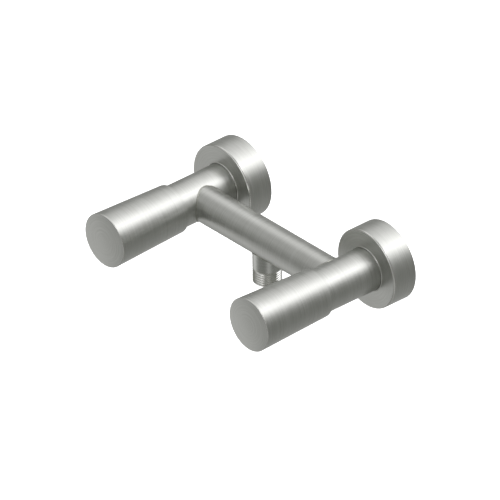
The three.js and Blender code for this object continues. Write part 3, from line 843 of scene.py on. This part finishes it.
# the pieces that stay as the frame has them get their finish
innerFinish = [
    (rubberSeal, ["union_gasket", "seat_seal", "bonnet_seal", "spindle_seal", "escutcheon_seal"]),
    (acetal, ["inlet_strainer", "check_valve_body", "check_valve_poppet", "glide_ring"]),
    (steelWire, ["spindle_clip", "hub_screw"]),
    (ceramicDisc, ["fixed_disc", "turning_disc"]),
    (brassTurned, ["headwork_body", "spindle", "stop_ring", "handle_hub"]),
]
for material, kinds in innerFinish:
    for node in [nodes[side + "_" + kind] for kind in kinds for side in sides]:
        node.data.materials.clear()
        node.data.materials.append(material)
print("inner pieces coloured")


studio = {
    "dim": 0.23,  # what the unlit room gives from all round
    "roomColour": "fdfff9",
    "panelColour": "fdfcff",
    "panels": [  # azimuth from +X, elevation, tightness and brightness of each soft light
        (22.5, 55, 45, 4.7),
        (65, 47.5, 14, 2.15),
        (107.5, 64, 45, 0.87),
        (150, 51.5, 14, 1.1),
        (235, 47.5, 14, 0.57),
        (270, 0, 12, 0.2),
        (275, 18, 40, 2.2),
        (220, -24.5, 14, 0.23),
        (200, -38, 14, 0.48),
        (120, -30, 10, 0.57),
        (30, -60, 10, 0.16),
        (330, -30, 25, 0.3),
    ],
}
camera = {
    "azimuth": 48.46,
    "elevation": 31.775,
    "roll": -0.455,
    "width": 0.34638,  # what the view takes in, in metres
    "distance": 1.5,
    "target": (0, -0.065, 0),
    "shift": (3.19, 0.055),  # mm, right and up from the target
}


def directionOf(azimuth, elevation):
    a, e = math.radians(azimuth), math.radians(elevation)
    return Vector((math.cos(e) * math.cos(a), math.cos(e) * math.sin(a), math.sin(e)))


def makeStudio():
    world = bpy.data.worlds.new("softStudio")
    bpy.context.scene.world = world
    world.use_nodes = True
    tree = world.node_tree
    tree.nodes.clear()
    way = addNode(tree, "ShaderNodeTexCoord", {})["Generated"]
    lit = 0.0
    for azimuth, elevation, tightness, brightness in studio["panels"]:
        # each soft light fades with the angle from its middle
        near = addNode(tree, "ShaderNodeVectorMath", {0: way, 1: directionOf(azimuth, elevation)},
                       operation="DOT_PRODUCT")["Value"]
        fall = addNode(tree, "ShaderNodeMath", {0: near, 1: tightness, 2: -tightness},
                       operation="MULTIPLY_ADD")[0]
        fall = addNode(tree, "ShaderNodeMath", {0: fall}, operation="EXPONENT")[0]
        lit = addNode(tree, "ShaderNodeMath", {0: fall, 1: brightness, 2: lit}, operation="MULTIPLY_ADD")[0]
    dim = addNode(tree, "ShaderNodeBackground", {
        "Strength": studio["dim"], "Color": fromHex(studio["roomColour"])})[0]
    panels = addNode(tree, "ShaderNodeBackground", {
        "Strength": lit, "Color": fromHex(studio["panelColour"])})[0]
    room = addNode(tree, "ShaderNodeAddShader", {0: dim, 1: panels})[0]
    # the camera itself sees plain white
    white = addNode(tree, "ShaderNodeBackground", {"Color": fromHex("ffffff"), "Strength": 1.0})[0]
    seen = addNode(tree, "ShaderNodeLightPath", {})["Is Camera Ray"]
    both = addNode(tree, "ShaderNodeMixShader", {0: seen, 1: room, 2: white})[0]
    addNode(tree, "ShaderNodeOutputWorld", {"Surface": both})
    world.cycles.sampling_method = "MANUAL"
    world.cycles.sample_map_resolution = 512  # enough for lights as soft as these


paper = {"size": 24, "below": 0.6}  # metres


def makeFloor():
    # white paper past the edge of every view, too far below to catch a shadow, kept out of the reflections
    deselectAll()
    bpy.ops.mesh.primitive_plane_add(size=paper["size"], location=(0, 0, -paper["below"]))
    floor = bpy.context.object
    floor.name = "paperFloor"
    material, shader = newMaterial("whitePaper", "ffffff", 0.9, 0.0)
    shader.inputs["Emission Color"].default_value = fromHex("ffffff")
    shader.inputs["Emission Strength"].default_value = 1.0
    shader.inputs["Specular IOR Level"].default_value = 0.0
    floor.data.materials.append(material)
    floor.visible_glossy = False
    floor.visible_diffuse = False
    floor.visible_shadow = False


def makeCamera():
    a, e, roll = (math.radians(camera[k]) for k in ("azimuth", "elevation", "roll"))
    right = Vector((math.cos(a), math.sin(a), 0))
    back = Vector((math.sin(a) * math.cos(e), -math.cos(a) * math.cos(e), math.sin(e)))
    up = back.cross(right)
    right, up = right * math.cos(roll) + up * math.sin(roll), up * math.cos(roll) - right * math.sin(roll)
    target = Vector(camera["target"]) + (right * camera["shift"][0] + up * camera["shift"][1]) * mm
    data = bpy.data.cameras.new("camera")
    data.type = "ORTHO"
    data.ortho_scale = camera["width"]
    data.clip_end = 30
    view = bpy.data.objects.new("camera", data)
    turned = Matrix((right, up, back)).transposed().to_4x4()
    view.matrix_world = Matrix.Translation(target + back * camera["distance"]) @ turned
    bpy.context.scene.collection.objects.link(view)
    bpy.context.scene.camera = view


makeStudio()
makeFloor()
makeCamera()
bpy.context.scene.view_settings.view_transform = "Standard"
bpy.context.scene.view_settings.look = "None"
print("studio, floor and camera made")
